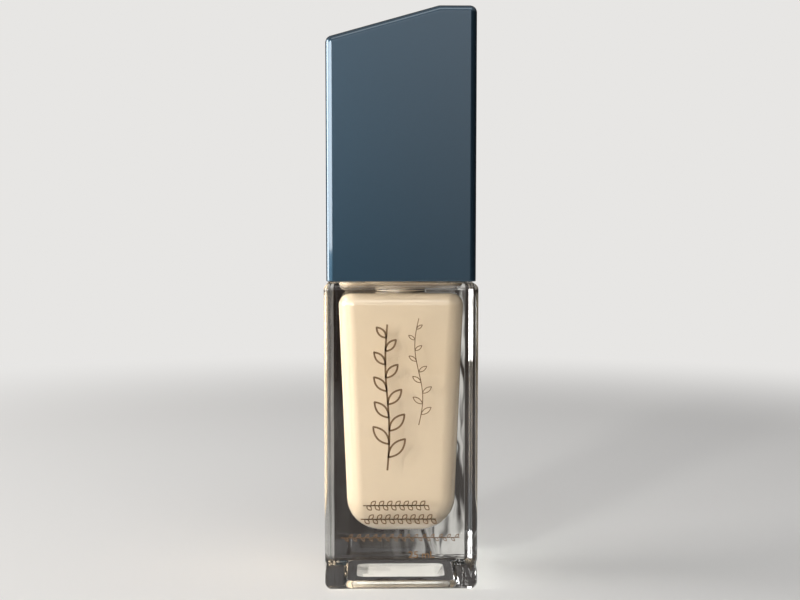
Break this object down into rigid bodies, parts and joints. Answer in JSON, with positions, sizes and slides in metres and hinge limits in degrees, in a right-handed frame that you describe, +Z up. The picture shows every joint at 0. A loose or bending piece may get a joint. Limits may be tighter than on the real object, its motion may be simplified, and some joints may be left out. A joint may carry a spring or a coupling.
{
  "type": "foundation bottle",
  "caption": "Square thick-walled glass foundation bottle with a treatment pump under a tall pull-off cap whose top is cut at a slant.",
  "frame": {"origin": "middle of the base, on the surface the bottle stands on", "axes": "+Z up along the pump's axis, -Y out of the printed front, +X towards the high side of the cap"},
  "size_m": [0.031, 0.031, 0.1173],
  "materials": {
    "clear_glass": "polished clear flint glass",
    "foundation_cream": "opaque cream liquid",
    "label_paper": "matt white label",
    "pump_plastic": "natural moulded polypropylene",
    "tube_plastic": "extruded polyethylene",
    "seal_foam": "soft white seal",
    "piston_plastic": "waxy moulded polyethylene",
    "stainless_steel": "drawn stainless wire and polished balls",
    "collar_plastic": "moulded polypropylene",
    "sleeve_metal": "bright anodised",
    "head_coat": "slate blue metallic lacquer",
    "cap_coat": "slate blue metallic lacquer, satin gloss",
    "liner_plastic": "moulded polypropylene"
  },
  "bodies": {
    "bottle": {"glass_bottle": "clear_glass", "foundation_liquid": "foundation_cream", "base_label": "label_paper"},
    "pump": {"pump_housing": "pump_plastic", "dip_tube": "tube_plastic", "neck_gasket": "seal_foam", "chaplet": "pump_plastic", "ball_retainer": "pump_plastic"},
    "inlet_valve": {"inlet_ball": "stainless_steel"},
    "collar": {"closure_collar": "collar_plastic", "collar_sleeve": "sleeve_metal"},
    "cap": {"cap_shell": "cap_coat", "cap_liner": "liner_plastic"},
    "piston": {"stem": "pump_plastic", "piston_rod": "pump_plastic", "main_piston": "piston_plastic", "return_spring": "stainless_steel"},
    "outlet_valve": {"outlet_ball": "stainless_steel"},
    "head": {"actuator_core": "pump_plastic", "actuator_shell": "head_coat", "nozzle_insert": "pump_plastic"}
  },
  "joints": [
    {"name": "pump_lift", "type": "slide", "parent": "bottle", "child": "pump", "axis": [0, 0, 1], "range_m": [0, 0.00558]},
    {"name": "collar_turn", "type": "hinge", "parent": "pump", "child": "collar", "pos_m": [0, 0, 0.07], "axis": [0, 0, 1], "range_deg": [0, 630]},
    {"name": "cap_pull", "type": "slide", "parent": "collar", "child": "cap", "axis": [0, 0, 1], "range_m": [0, 0.06]},
    {"name": "head_press", "type": "slide", "parent": "pump", "child": "piston", "axis": [0, 0, -1], "range_m": [0, 0.004], "stiffness_N_per_m": 1500, "springref_m": -0.003, "deforming": ["return_spring"]},
    {"name": "head_turn", "type": "hinge", "parent": "piston", "child": "head", "pos_m": [0, 0, 0.09], "axis": [0, 0, 1], "continuous": true},
    {"name": "inlet_valve", "type": "slide", "parent": "pump", "child": "inlet_valve", "axis": [0, 0, 1], "range_m": [0, 0.0007]},
    {"name": "outlet_valve", "type": "slide", "parent": "piston", "child": "outlet_valve", "axis": [0, 0, 1], "range_m": [0, 0.0005]}
  ],
  "couplings": [
    {"joint": "pump_lift", "follows": "collar_turn", "m_per_rad": 0.00050532}
  ]
}
